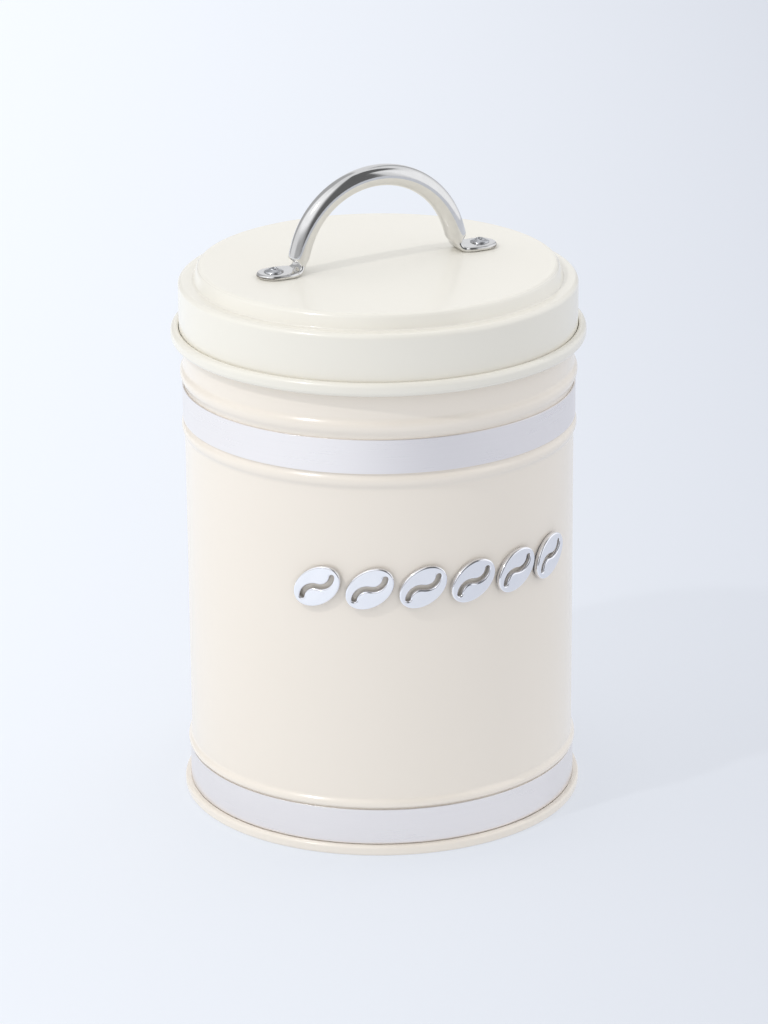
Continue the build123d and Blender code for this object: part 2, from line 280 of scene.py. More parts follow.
def make_piece(name, points, faces, body, material, stands_for, caps=(), marks=()):
    """A smooth closed mesh in millimetres, made a piece that rides on a body in place of CAD nodes.
    marks are named values, one for each point, for its material."""
    mesh = bpy.data.meshes.new(name)
    mesh.from_pydata((points.reshape(-1, 3) * MM).tolist(), [], faces.tolist() + [list(cap) for cap in caps])
    for key, values in dict(marks).items():
        mark = mesh.attributes.new(key, "FLOAT", "POINT")
        mark.data.foreach_set("value", values.ravel().astype(np.float32))
    work = bmesh.new()
    work.from_mesh(mesh)
    bmesh.ops.remove_doubles(work, verts=work.verts, dist=MERGE)
    bmesh.ops.dissolve_degenerate(work, dist=MERGE / 10, edges=work.edges)
    bmesh.ops.recalc_face_normals(work, faces=work.faces)
    work.to_mesh(mesh)
    work.free()
    mesh.polygons.foreach_set("use_smooth", np.ones(len(mesh.polygons), bool))
    mesh.materials.append(material)
    piece = bpy.data.objects.new(name, mesh)
    bpy.context.scene.collection.objects.link(piece)
    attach(piece, body)
    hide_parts(*stands_for)


def lathe_points(outline, angles):
    """Surface of revolution: the outline's (r, z) at each angle a is (r cos a, r sin a, z)."""
    r, z = outline[:, 0], outline[:, 1]
    x = np.cos(angles)[:, None] * r
    y = np.sin(angles)[:, None] * r
    return np.stack([x, y, np.broadcast_to(z, x.shape)], -1)


def full_turn(steps=ROUND_STEPS):
    """Angles evenly spaced round a full turn, the last one short of the first by a step."""
    return np.linspace(0, 2 * pi, steps, endpoint=False)


def turned(points, angle):
    """Points turned about the Z axis."""
    x, y, z = np.moveaxis(points, -1, 0)
    return np.stack([x * cos(angle) - y * sin(angle), x * sin(angle) + y * cos(angle), z], -1)


# --------------------------------------------------------------------------- materials

def linear(hex_colour):
    """Linear RGBA of an sRGB hex colour such as F0E8D8."""
    rgb = np.array([int(hex_colour[i:i + 2], 16) for i in (0, 2, 4)]) / 255
    rgb = np.where(rgb <= 0.04045, rgb / 12.92, ((rgb + 0.055) / 1.055) ** 2.4)
    return (*rgb.tolist(), 1.0)


def add(tree, kind, inputs=(), **settings):
    """Adds one node with its settings; an input given as a socket is linked, and any other is its value."""
    node = tree.nodes.new(kind)
    for key, value in settings.items():
        setattr(node, key, value)
    for key, value in dict(inputs).items():
        if isinstance(value, bpy.types.NodeSocket):
            tree.links.new(value, node.inputs[key])
        else:
            node.inputs[key].default_value = value
    return node


def new_material(name, **shader_values):
    """A material with one Principled shader, whose constant values are set on its own sockets."""
    material = bpy.data.materials.new(name)
    material.use_nodes = True
    tree = material.node_tree
    shader = tree.nodes["Principled BSDF"]
    for key, value in shader_values.items():
        shader.inputs[key.replace("_", " ").title().replace("Ior", "IOR")].default_value = value
    return material, tree, shader


def object_noise(tree, cell_mm, stretch=(1, 1, 1), detail=2.0):
    """Noise on Object coordinates whose cells are about cell_mm across, drawn out along axes by stretch."""
    coordinates = add(tree, "ShaderNodeTexCoord")
    scale = [1 / (cell_mm * MM * factor) for factor in stretch]
    mapping = add(tree, "ShaderNodeMapping", {"Vector": coordinates.outputs["Object"], "Scale": scale})
    noise = add(tree, "ShaderNodeTexNoise", {"Vector": mapping.outputs[0], "Scale": 1.0, "Detail": detail})
    return noise.outputs[0]


def show(tree, shader, pattern, dark, light, rough=None, relief_mm=None):
    """Lets a 0 to 1 pattern drive a shader: its colour from dark to light, its roughness from the first to
    the second of rough, and a relief relief_mm deep."""
    colour = add(tree, "ShaderNodeMix", {
        "Factor": pattern, "A": linear(dark), "B": linear(light)}, data_type="RGBA")
    tree.links.new(colour.outputs["Result"], shader.inputs["Base Color"])
    if rough:
        sheen = add(tree, "ShaderNodeMapRange", {"Value": pattern, "To Min": rough[0], "To Max": rough[1]})
        tree.links.new(sheen.outputs[0], shader.inputs["Roughness"])
    if relief_mm:
        bump = add(tree, "ShaderNodeBump", {
            "Height": pattern, "Strength": 1.0, "Distance": relief_mm * MM})
        tree.links.new(bump.outputs[0], shader.inputs["Normal"])


def powder_coat(name, colour, shade, flat_z):
    """Polyester powder coat on steel, oven-cured: an even semi-gloss skin with faint orange peel.
    On a flat panel above flat_z it lies thicker and duller than over the bends."""
    cloud_mm, peel_mm, grit_mm = 38, 1.3, 0.3
    peel_deep, grit_deep = 0.006 * MM, 0.0015 * MM
    glossy, glossy_worn, dull = 0.2, 0.26, 0.55
    fade = 0.4                   # height over which the dull panel sets in, mm
    material, tree, shader = new_material(name, coat_weight=0.3, coat_roughness=0.12, ior=1.5)
    show(tree, shader, object_noise(tree, cloud_mm, detail=1.0), colour, shade)
    peel = object_noise(tree, peel_mm, detail=1.5)
    sheen = add(tree, "ShaderNodeMapRange", {"Value": peel, "To Min": glossy, "To Max": glossy_worn})
    coordinates = add(tree, "ShaderNodeTexCoord")
    axes = add(tree, "ShaderNodeSeparateXYZ", {0: coordinates.outputs["Object"]})
    flat = add(tree, "ShaderNodeMapRange", {
        "Value": axes.outputs["Z"], "From Min": (flat_z - fade) * MM, "From Max": flat_z * MM})
    rough = add(tree, "ShaderNodeMix", {"Factor": flat.outputs[0], "A": sheen.outputs[0], "B": dull})
    tree.links.new(rough.outputs["Result"], shader.inputs["Roughness"])
    low_bump = add(tree, "ShaderNodeBump", {"Height": peel, "Strength": 1.0, "Distance": peel_deep})
    fine_bump = add(tree, "ShaderNodeBump", {
        "Height": object_noise(tree, grit_mm, detail=1.0), "Strength": 1.0, "Distance": grit_deep,
        "Normal": low_bump.outputs[0]})
    tree.links.new(fine_bump.outputs[0], shader.inputs["Normal"])
    tree.links.new(low_bump.outputs[0], shader.inputs["Coat Normal"])
    return material


def satin_strip():
    """Stainless strip, rolled bright and brushed along its length: a soft grey shine with fine lines round
    the tin. Real brush lines are a tenth as wide; these are as coarse as they need to be to show."""
    line_mm, cloud_mm = 0.22, 9
    line_deep = 0.0012 * MM
    material, tree, shader = new_material("stainless_strip_brushed", metallic=1.0, anisotropic=0.1)
    lines = object_noise(tree, line_mm, stretch=(110, 110, 1), detail=3.0)
    clouds = object_noise(tree, cloud_mm, stretch=(2.5, 2.5, 1), detail=2.0)
    both = add(tree, "ShaderNodeMath", {0: lines, 1: clouds}, operation="ADD")
    half = add(tree, "ShaderNodeMath", {0: both.outputs[0], 1: 0.5}, operation="MULTIPLY")
    show(tree, shader, half.outputs[0], "EFEBEA", "F8F4F3", rough=(0.22, 0.36))
    bump = add(tree, "ShaderNodeBump", {"Height": lines, "Strength": 1.0, "Distance": line_deep})
    tree.links.new(bump.outputs[0], shader.inputs["Normal"])
    tangent = add(tree, "ShaderNodeTangent", direction_type="RADIAL", axis="Z")
    tree.links.new(tangent.outputs[0], shader.inputs["Tangent"])
    return material


def polished_steel():
    """Stainless tube polished on a wheel: a bright mirror, a little clouded by the mop's fine scratches,
    which are drawn coarser than real ones. Where the tube is cut off, it is rough, with painted shade in the
    gap
    between its two layers: a broken dark brown line that also stands for brown stains there."""
    haze_mm, speck_mm, scratch_mm = 2.2, 0.6, 0.25
    scratch_deep = 0.0015 * MM
    mirror, hazy, rough_cut = 0.06, 0.13, 0.6
    material, tree, shader = new_material("stainless_tube_polished", metallic=1.0)
    haze = object_noise(tree, haze_mm, detail=3.0)
    metal = add(tree, "ShaderNodeMix", {
        "Factor": haze, "A": linear("D9D8D6"), "B": linear("E6E5E3")}, data_type="RGBA")
    # Painted shade of the gap between the two layers at the cut end, broken into specks and brown like the
    # stains there.
    cut = add(tree, "ShaderNodeAttribute", attribute_name="cut")
    specks = add(tree, "ShaderNodeMapRange", {
        "Value": object_noise(tree, speck_mm, detail=2.0), "To Min": 0.1, "To Max": 1.9})
    gap_shade_and_stain = add(tree, "ShaderNodeMath", {0: specks.outputs[0], 1: cut.outputs["Fac"]},
                  operation="MULTIPLY", use_clamp=True)
    shade_and_stain = add(tree, "ShaderNodeMix", {
        "Factor": gap_shade_and_stain.outputs[0], "A": metal.outputs["Result"], "B": linear("4A3A2C")}, data_type="RGBA")
    tree.links.new(shade_and_stain.outputs["Result"], shader.inputs["Base Color"])
    sheen = add(tree, "ShaderNodeMapRange", {"Value": haze, "To Min": mirror, "To Max": hazy})
    rough = add(tree, "ShaderNodeMix", {"Factor": gap_shade_and_stain.outputs[0], "A": sheen.outputs[0], "B": rough_cut})
    tree.links.new(rough.outputs["Result"], shader.inputs["Roughness"])
    scratch = object_noise(tree, scratch_mm, stretch=(14, 1, 14), detail=2.0)
    bump = add(tree, "ShaderNodeBump", {"Height": scratch, "Strength": 1.0, "Distance": scratch_deep})
    tree.links.new(bump.outputs[0], shader.inputs["Normal"])
    return material


def plated_chrome():
    """Chrome plated on moulded plastic: a cool mirror with a slight moulded waviness."""
    material, tree, shader = new_material("emblem_chrome_plated", metallic=1.0)
    wave = object_noise(tree, cell_mm=3.5, detail=1.0)
    show(tree, shader, wave, "F1F2F6", "FAFAFD", rough=(0.04, 0.09), relief_mm=0.006)
    return material


def rivet_alloy():
    """Aluminium rivet, formed cold and left as it is: a dull bright metal with small dents."""
    material, tree, shader = new_material("rivet_aluminium_formed", metallic=1.0)
    dents = object_noise(tree, cell_mm=0.5, detail=3.0)
    show(tree, shader, dents, "B9BABC", "DADBDD", rough=(0.18, 0.36), relief_mm=0.02)
    return material


def broken_wire():
    """Steel mandrel snapped in the rivet: a dark grey, grainy break."""
    material, tree, shader = new_material("mandrel_steel_broken", metallic=1.0)
    grain = object_noise(tree, cell_mm=0.12, detail=4.0)
    show(tree, shader, grain, "4A4A4C", "8C8C8E", rough=(0.35, 0.6), relief_mm=0.03)
    return material


def foam_tape():
    """Polyethylene foam tape, cut: matt grey with open cells about a third of a millimetre across."""
    cell_mm = 0.35
    material, tree, shader = new_material("foam_tape_cut", roughness=0.9)
    coordinates = add(tree, "ShaderNodeTexCoord")
    cells = add(tree, "ShaderNodeTexVoronoi", {
        "Vector": coordinates.outputs["Object"], "Scale": 1 / (cell_mm * MM)})
    show(tree, shader, cells.outputs["Distance"], "4C4C50", "7B7B80", relief_mm=0.05)
    return material


def silicone():
    """Silicone seal, moulded: milky and soft, with a faint satin skin."""
    material, tree, shader = new_material(
        "silicone_moulded", ior=1.41, subsurface_weight=0.3, subsurface_scale=2 * MM)
    cloud = object_noise(tree, cell_mm=5, detail=2.0)
    show(tree, shader, cloud, "D8D8D4", "E6E6E2", rough=(0.42, 0.55))
    return material


def sealing_compound():
    """Cured rubber lining compound in the rolled seam: matt, greyish and slightly lumpy."""
    material, tree, shader = new_material("seam_compound_cured")
    lumps = object_noise(tree, cell_mm=0.8, detail=3.0)
    show(tree, shader, lumps, "8D897F", "A6A298", rough=(0.6, 0.8), relief_mm=0.05)
    return material


body_coat = powder_coat("body_powder_coat", "EFE6D8", "F1E8DB", MOUTH_Z)
lid_coat = powder_coat("lid_powder_coat", "ECE7DA", "EDE9DD", LID_TOP)
strip_steel = satin_strip()
tube_steel = polished_steel()
emblem_chrome = plated_chrome()
rivet_metal = rivet_alloy()
mandrel_steel = broken_wire()
foam = foam_tape()

# CAD nodes that are shown as they are
cad_materials = {
    "base_seam_sealant": sealing_compound(),
    "lid_seal": silicone(),
    "rivet_mandrel_left": mandrel_steel,
    "rivet_mandrel_right": mandrel_steel}
for index in range(EMBLEM_COUNT):
    cad_materials[f"emblem_pad_{index + 1}"] = foam
for name, material in cad_materials.items():
    nodes[name].data.materials.clear()
    nodes[name].data.materials.append(material)


# --------------------------------------------------------------------------- canister

def make_body_wall():
    """Wall turned from its bent-sheet outline, with the lap of the side seam raised at the back."""
    curl_r = MOUTH_CURL - SHEET / 2
    curl_z = MOUTH_Z - MOUTH_CURL
    flange_end = SEAM_R - SHEET - FLANGE_GAP - SHEET / 2
    flange = corner_path(
        [(flange_end, FLANGE_Z), (WALL_MID, FLANGE_Z), (WALL_MID, LOW_BEAD_Z - LOW_BEAD[0])], [SEAM_BEND])
    path = np.concatenate([
        flange,
        bead_path(WALL_MID, LOW_BEAD_Z, LOW_BEAD),
        bead_path(WALL_MID, MID_BEAD_Z, MID_BEAD),
        bead_path(WALL_MID, TOP_BEAD_Z, TOP_BEAD),
        arc_path((WALL_MID - curl_r, curl_z), curl_r, 0, CURL_TURN)])
    outline = sheet_outline(tidy_path(path))
    half_lap = SIDE_SEAM_W / WALL_R / 2
    lap_edge = np.linspace(-SIDE_SEAM_EDGE / 2, SIDE_SEAM_EDGE / 2, 7) / WALL_R
    back = pi / 2
    angles = np.unique(np.concatenate([full_turn(), back + half_lap + lap_edge, back - half_lap + lap_edge]))
    points = lathe_points(outline, angles)
    past_lap = np.abs(angles - back) - half_lap
    on_lap = np.clip(0.5 - past_lap * WALL_R / SIDE_SEAM_EDGE, 0, 1)
    seam_low, seam_high = LOW_BEAD_Z + LOW_BEAD[1], MID_BEAD_Z - MID_BEAD[0]
    is_outer = (outline[:, 0] > WALL_MID) & (outline[:, 1] > seam_low) & (outline[:, 1] < seam_high)
    swell = 1 + on_lap[:, None] * is_outer * SIDE_SEAM_RISE / WALL_R
    points[..., :2] *= swell[..., None]
    make_piece("body_wall_sheet", points, quads(*points.shape[:2]), "canister", body_coat,
               ["body_wall"])


def make_base():
    """Base turned from its bent-sheet outline: stepped panel, wall and the rim rolled round the flange."""
    chuck_r = WALL_IN - SHEET / 2
    rim_r = SEAM_R - SHEET / 2
    step_r = WALL_IN - PANEL_STEP_IN
    hook_z = SEAM_H - SHEET / 2
    low = PANEL_Z - PANEL_STEP
    path = corner_path(
        [(0, low), (step_r - PANEL_STEP_RUN, low), (step_r, PANEL_Z), (chuck_r, PANEL_Z),
         (chuck_r, SHEET / 2), (rim_r, SHEET / 2), (rim_r, hook_z), (WALL_R + HOOK_GAP + SHEET / 2, hook_z)],
        [SEAM_BEND] * 6)
    outline = sheet_outline(tidy_path(path))
    outline[:, 0] = np.maximum(outline[:, 0], 0)
    points = lathe_points(outline, full_turn())
    make_piece("base_sheet", points, quads(*points.shape[:2]), "canister", body_coat,
               ["base_pan"])


def make_band(name):
    """Strip turned from its rounded section, open by a narrow joint at the back and closed at both ends."""
    outline = tidy_path(rounded_box(WALL_R + BAND_FIT, BAND_R, low_z(name), high_z(name), BAND_EDGE))
    half_joint = BAND_JOINT / BAND_R / 2
    angles = pi / 2 + np.linspace(half_joint, 2 * pi - half_joint, ROUND_STEPS + 1)
    points = lathe_points(outline, angles)
    rows, columns = points.shape[:2]
    first_end = np.arange(columns)[::-1]
    last_end = np.arange(columns) + (rows - 1) * columns
    make_piece(name + "_strip", points, quads(rows, columns, close_rows=False), "canister", strip_steel,
               [name], caps=[first_end.tolist(), last_end.tolist()])


# --------------------------------------------------------------------------- lid

def make_lid():
    """Lid turned from its bent-sheet outline: panel, leaning step, ledge, skirt and outward rolled edge."""
    panel_z = LID_TOP - SHEET / 2
    ledge_z = LEDGE_TOP - SHEET / 2
    foot_r = SKIRT_MID + SHEET / 2 - LEDGE_W
    roll_r = LID_ROLL / 2
    roll_z = LID_LOW + SHEET / 2 + roll_r
    centre_r = SKIRT_MID + roll_r
    top = corner_path(
        [(0, panel_z), (foot_r - STEP_LEAN, panel_z), (foot_r, ledge_z), (SKIRT_MID, ledge_z),
         (SKIRT_MID, roll_z)],
        [STEP_BENDS[0], STEP_BENDS[1], SHOULDER - SHEET / 2])
    path = np.concatenate([
        top,
        arc_path((centre_r, roll_z), roll_r, 180, 180),
        arc_path((centre_r, roll_z + LID_ROLL_RISE), roll_r, 0, LID_ROLL_TURN)])
    outline = sheet_outline(tidy_path(path))
    outline[:, 0] = np.maximum(outline[:, 0], 0)
    points = lathe_points(outline, full_turn())
    make_piece("lid_sheet", points, quads(*points.shape[:2]), "lid", lid_coat, ["lid_shell"])


def smooth(x):
    """Rises smoothly from 0 to 1 as x goes from 0 to 1."""
    x = np.clip(x, 0, 1)
    return x * x * (3 - 2 * x)


def rising(x, stretch):
    """Rises smoothly from 0 at the start of a stretch to 1 at its end."""
    start, end = stretch
    return smooth((x - start) / (end - start))


def make_handle():
    """Tube swept along arch, leg, bend and lug, one half mirrored to the other. A section across the path,
    w half wide and t half thick, is a stadium: at angle a it is w cos a to the side and t sqrt(1 - e^2) out,
    where e is how far a point is into its rounded edge. The outer and the inner side have their own t, as the
    press leaves them."""
    bend_top = LUG_MID_Z + LUG_BEND
    foot = np.degrees(np.arcsin((bend_top - ARCH_Z) / HANDLE_R))
    arch_steps, leg_steps, bend_steps, lug_steps, tip_steps = 48, 26, 12, 6, 14

    arch = np.radians(np.linspace(90, ROUND_TO, arch_steps))
    share = np.linspace(0, 1, leg_steps + 1)[1:]
    leg = np.radians(ROUND_TO + (foot - ROUND_TO) * share)
    leg_x = HANDLE_R * (np.cos(leg) + (1 - np.cos(leg)) * share ** 2)
    leg_lean = np.radians(ROUND_TO) * (1 - share)
    bend = np.linspace(pi, 1.5 * pi, bend_steps + 1)[1:]
    bend_x = HANDLE_R + LUG_BEND + LUG_BEND * np.cos(bend)
    lug_x = np.linspace(HANDLE_R + LUG_BEND, RIVET_X, lug_steps + 1)[1:]
    tip = np.sin(np.linspace(0, pi / 2, tip_steps + 1)[1:])
    tip_x = RIVET_X + LUG_HALF_W * tip

    x = np.concatenate([HANDLE_R * np.cos(arch), leg_x, bend_x, lug_x, tip_x])
    flat_z = np.full(lug_steps + tip_steps, LUG_MID_Z)
    round_z = ARCH_Z + HANDLE_R * np.sin(np.concatenate([arch, leg]))
    z = np.concatenate([round_z, bend_top + LUG_BEND * np.sin(bend), flat_z])
    lean = np.concatenate([arch, leg_lean, bend - pi, np.full(flat_z.shape, pi / 2)])
    out_x, out_z = np.cos(lean), np.sin(lean)

    run = np.hypot(np.gradient(x), np.gradient(z)).cumsum()
    below_foot = run - run[arch_steps + leg_steps - 1]
    half_w = TUBE_R + (LUG_HALF_W - TUBE_R) * rising(below_foot, WIDEN)
    half_w[-tip_steps:] = LUG_HALF_W * np.sqrt(np.maximum(1 - tip ** 2, 0))
    t_out = TUBE_R + (LUG_HALF_T - TUBE_R) * rising(below_foot, FLATTEN_OUTSIDE)
    t_in = TUBE_R + (LUG_HALF_T - TUBE_R) * rising(below_foot, FLATTEN_INSIDE)
    hollow = HOLLOW * rising(below_foot, HOLLOW_BEGINS) * (1 - rising(below_foot, HOLLOW_ENDS))

    around = full_turn(TUBE_STEPS)
    aside = half_w[:, None] * np.cos(around)
    full_w = np.where(np.arange(len(x)) < len(x) - tip_steps, half_w, LUG_HALF_W)[:, None]
    beyond = np.concatenate([np.zeros(len(x) - tip_steps), LUG_HALF_W * tip])[:, None]
    from_edge = full_w - np.hypot(aside, beyond)
    is_out = np.sin(around) >= 0
    half_t = np.where(is_out, t_out[:, None], t_in[:, None])
    into_edge = np.clip(1 - from_edge / half_t, 0, 1)
    height = half_t * np.sqrt(1 - into_edge ** 2)
    height -= np.where(is_out, hollow[:, None] * (1 - (aside / full_w) ** 2), 0)
    height *= np.where(is_out, 1, -1)
    right = np.stack([x[:, None] + out_x[:, None] * height, aside, z[:, None] + out_z[:, None] * height], -1)
    left = right[:0:-1] * np.array([-1, 1, 1])
    points = turned(np.concatenate([left, right]), LID_TURNED)
    # Painted shade: a dark line in the gap between the two layers at each lug's cut end.
    cut = np.clip(1 - np.abs(height) / CUT_SHADE_LINE, 0, 1) * smooth(2 * beyond / LUG_HALF_W)
    make_piece("handle_tube_polished", points, quads(*points.shape[:2], close_rows=False), "lid", tube_steel,
               ["handle_tube"], marks={"cut": np.concatenate([cut[:0:-1], cut])})


def make_rivet(side, name):
    """Set blind rivet turned from its section: domed head with a socket, shank and tail. The tail swells from
    the shank's radius and back as half a sine wave."""
    low, high = low_z(name), high_z(name)
    head_z = LID_TOP + 2 * LUG_HALF_T
    rim_angle = acos(RIVET_HEAD_R / RIVET_DOME_R)
    lip_angle = acos((RIVET_SOCKET_R + RIVET_LIP) / RIVET_DOME_R)
    dome_z = head_z + RIVET_RIM - RIVET_DOME_R * sin(rim_angle)
    socket = [(RIVET_SOCKET_R + RIVET_LIP, high), (RIVET_SOCKET_R, high - RIVET_LIP), (RIVET_SOCKET_R, low)]
    bulge = np.sin(np.linspace(0, pi, 13))
    tail_r = RIVET_SHANK_R + (RIVET_TAIL_R - RIVET_SHANK_R) * bulge
    tail = np.stack([tail_r, np.linspace(low, low + RIVET_TAIL_H, len(bulge))], -1)
    head = [(RIVET_SHANK_R, head_z), (RIVET_HEAD_R, head_z)]
    dome = arc_path((0, dome_z), RIVET_DOME_R, degrees(rim_angle), degrees(lip_angle - rim_angle))
    points = lathe_points(np.concatenate([socket, tail, head, dome]), full_turn(RIVET_STEPS))
    points += np.array([side * RIVET_X, 0, 0])
    make_piece(name + "_set", turned(points, LID_TURNED), quads(*points.shape[:2]), "lid", rivet_metal,
               [name])


# --------------------------------------------------------------------------- emblems

def evenly(path, count, is_loop):
    """A path's points, spaced evenly along its length; a loop's end joins its start."""
    if is_loop:
        path = np.concatenate([path, path[:1]])
    length = np.r_[0, np.cumsum(np.linalg.norm(np.diff(path, axis=0), axis=1))]
    at = np.linspace(0, length[-1], count, endpoint=not is_loop)
    return np.stack([np.interp(at, length, path[:, k]) for k in (0, 1)], -1)


def loop_normals(loop):
    """Unit normals of a closed loop, to the right of its direction."""
    along = np.roll(loop, -1, 0) - np.roll(loop, 1, 0)
    along /= np.linalg.norm(along, axis=1)[:, None]
    return np.stack([along[:, 1], -along[:, 0]], -1)


def bean_points():
    """Bean with a crease through it: rings of points run from the crease's loop to the bean's ellipse,
    up the crease's wall, over its rounded edge, across the flat front, over the outer edge and down.
    The crease is a strip along an S of two arcs."""
    ring_points, crease_points, ellipse_points = 168, 60, 720
    front_rings = (0.04, 0.35, 0.65, 0.96)       # from the crease's edge to the bean's, as shares of the way
    reach = EMBLEM_LONG * CREASE_SHARE
    arc_r = ((reach / 2) ** 2 + CREASE_SWING ** 2) / (2 * CREASE_SWING)
    half = np.degrees(np.arcsin(reach / 2 / arc_r))
    right = arc_path((reach / 2, arc_r - CREASE_SWING), arc_r, -90 + half, -2 * half)
    left = arc_path((-reach / 2, CREASE_SWING - arc_r), arc_r, 90 - half, 2 * half)
    spine = tidy_path(np.concatenate([right, left]), support=np.inf)
    crease = sheet_outline(evenly(spine, crease_points, is_loop=False), CREASE_W / 2)
    start = np.argmax(crease @ spine[0])
    inner = evenly(np.roll(crease, -start, 0), ring_points, is_loop=True)
    if (inner[1] - inner[0]) @ np.array([-spine[0][1], spine[0][0]]) < 0:
        inner = np.roll(inner[::-1], 1, 0)
    turn = full_turn(ellipse_points)
    ellipse = np.stack([EMBLEM_LONG * np.cos(turn), EMBLEM_SHORT * np.sin(turn)], -1)
    outer = evenly(ellipse, ring_points, is_loop=True)
    in_out = loop_normals(inner)
    out_in = -loop_normals(outer)
    edge = np.radians(np.linspace(0, 90, 6))
    wall_top = EMBLEM_T - EMBLEM_BEVEL
    slide = EMBLEM_BEVEL * (1 - np.cos(edge))
    climb = wall_top + EMBLEM_BEVEL * np.sin(edge)
    inner_top, outer_top = inner + in_out * EMBLEM_BEVEL, outer + out_in * EMBLEM_BEVEL
    rings = [(inner, 0.0), (inner, wall_top - SUPPORT)]
    rings += [(inner + in_out * s, c) for s, c in zip(slide, climb)]
    rings += [(inner_top + (outer_top - inner_top) * way, EMBLEM_T) for way in front_rings]
    rings += [(outer + out_in * s, c) for s, c in zip(slide[::-1], climb[::-1])]
    rings += [(outer, wall_top - SUPPORT), (outer, 0.0)]
    return np.stack([np.concatenate([loop, np.full((ring_points, 1), z)], -1) for loop, z in rings])


def make_emblem(name, bean):
    """Bean stood upright against the wall: tilted in its plane, then moved out and round to its place."""
    centre = middle(name)
    place = atan2(centre.x, -centre.y)
    facing = np.array([sin(place), -cos(place), 0])
    to_right = np.array([cos(place), sin(place), 0])
    back = (node_points(name) @ facing).min()
    x, y, z = np.moveaxis(turned(bean, radians(EMBLEM_TILT)), -1, 0)
    points = x[..., None] * to_right + (back + z)[..., None] * facing
    points[..., 2] = centre.z / MM + y
    make_piece(name + "_plated", points, quads(*points.shape[:2]), "canister", emblem_chrome,
               [name])


make_body_wall()
make_base()
make_band("lower_band")
make_band("upper_band")
make_lid()
make_handle()
make_rivet(-1, "rivet_left")
make_rivet(1, "rivet_right")
bean = bean_points()
for index in range(EMBLEM_COUNT):
    make_emblem(f"emblem_bean_{index + 1}", bean)


# --------------------------------------------------------------------------- floor, light and camera

# Metres and linear colours, unless a comment says otherwise
CAMERA_TURN = radians(-19.45)            # the camera stands to the left of the tin's front
CAMERA_AWAY = 1.08234                    # from the tin's axis
CAMERA_HEIGHT = 0.46560
CAMERA_DOWN = radians(19.722)
CAMERA_ASIDE = radians(0.058)
CAMERA_ROLL = radians(-0.442)
CAMERA_SENSOR = 36                       # mm
CAMERA_LENS = 149.066                    # mm
CAMERA_SEES = 50                         # nothing past this distance is drawn

FLOOR_REACH = 6.0                        # from the middle to each edge
FLOOR_LEFT = (0.326, 0.339, 0.358, 1)    # painted shade: the floor's colour darkens from left to right of the tin, as the light falls off
FLOOR_RIGHT_SHADED = (0.229, 0.238, 0.259, 1)
FLOOR_TONE = (-0.25, 0.2)                # where the painted shade starts and ends
FLOOR_TONE_CURVE = 1.3
FLOOR_TONE_TURN = radians(2)
FLOOR_GLOW = 1.8

ROOM_LIGHT = (0.845, 0.86, 0.9, 1)       # light from all round
LIGHTS_AIM_Z = 0.08
# Name, bearing in degrees, height, distance out, side, watts, sRGB colour and whether it is mirrored
LIGHTS = [
    ("left_softbox", -115, 0.9, 1.6, 1.6, 4.4, "FFFFFC", False),
    ("top_softbox", -60, 1.9, 0.3, 1.2, 0.45, "F2F6FF", False),
    ("rim_softbox", 110, 0.5, 1.3, 1.2, 3.8, "F6F9FF", False),
    ("key_lamp", -70, 1.42, 1.2, 0.06, 5.4, "FFFFFF", True)]

TENT_R = 2.4
TENT_Z = 0.16                            # height of its middle
TENT_COLOUR = (0.965, 0.98, 1.015, 1)
TENT_GLOW = 0.88
# Glow, edges across and edges up, in degrees: 0 across is the camera's side, and to the right is positive
TENT_PATCHES = [
    (1.15, (-112, -95, -25, 5), (16, 28, 55, 75)),
    (0.5, (-62, -45, -5, 5), (-40, -35, 8, 22)),
    (0.15, (-14, 14, 50, 54), (-60, -50, 100, 110)),
    (0.15, (0, 15, 95, 110), (46, 52, 100, 110)),
    (0.5, (146, 152, 162, 168), (-60, -50, 60, 70)),
    (0.5, (-168, -162, -120, -104), (-60, -50, 60, 70)),
    (1.1, (56, 64, 120, 135), (-60, -50, 35, 50))]


def make_floor():
    """Wide flat sheet of matt paper under the tin, cool white, with painted shade that darkens it a little to
    the right, as the light falls off. It also glows softly, like a light table, which keeps the tin's shadow
    faint."""
    material, tree, shader = new_material(
        "floor_paper", roughness=0.85, specular_ior_level=0.25, emission_strength=FLOOR_GLOW)
    coordinates = add(tree, "ShaderNodeTexCoord")
    # Painted shade: the colour darkens towards the right, as the light from the left falls off.
    across = add(tree, "ShaderNodeMapping", {
        "Vector": coordinates.outputs["Object"], "Rotation": (0, 0, FLOOR_TONE_TURN - CAMERA_TURN)})
    axes = add(tree, "ShaderNodeSeparateXYZ", {0: across.outputs[0]})
    even = add(tree, "ShaderNodeMapRange", {
        "Value": axes.outputs["X"], "From Min": FLOOR_TONE[0], "From Max": FLOOR_TONE[1]})
    shade_share = add(tree, "ShaderNodeMath", {0: even.outputs[0], 1: FLOOR_TONE_CURVE}, operation="POWER")
    mix = add(tree, "ShaderNodeMix", {
        "Factor": shade_share.outputs[0], "A": FLOOR_LEFT, "B": FLOOR_RIGHT_SHADED}, data_type="RGBA")
    tree.links.new(mix.outputs["Result"], shader.inputs["Base Color"])
    tree.links.new(mix.outputs["Result"], shader.inputs["Emission Color"])
    corners = [(x * FLOOR_REACH, y * FLOOR_REACH, 0) for x, y in ((-1, -1), (1, -1), (1, 1), (-1, 1))]
    mesh = bpy.data.meshes.new("floor")
    mesh.from_pydata(corners, [], [(0, 1, 2, 3)])
    mesh.materials.append(material)
    floor = bpy.data.objects.new("floor", mesh)
    bpy.context.scene.collection.objects.link(floor)


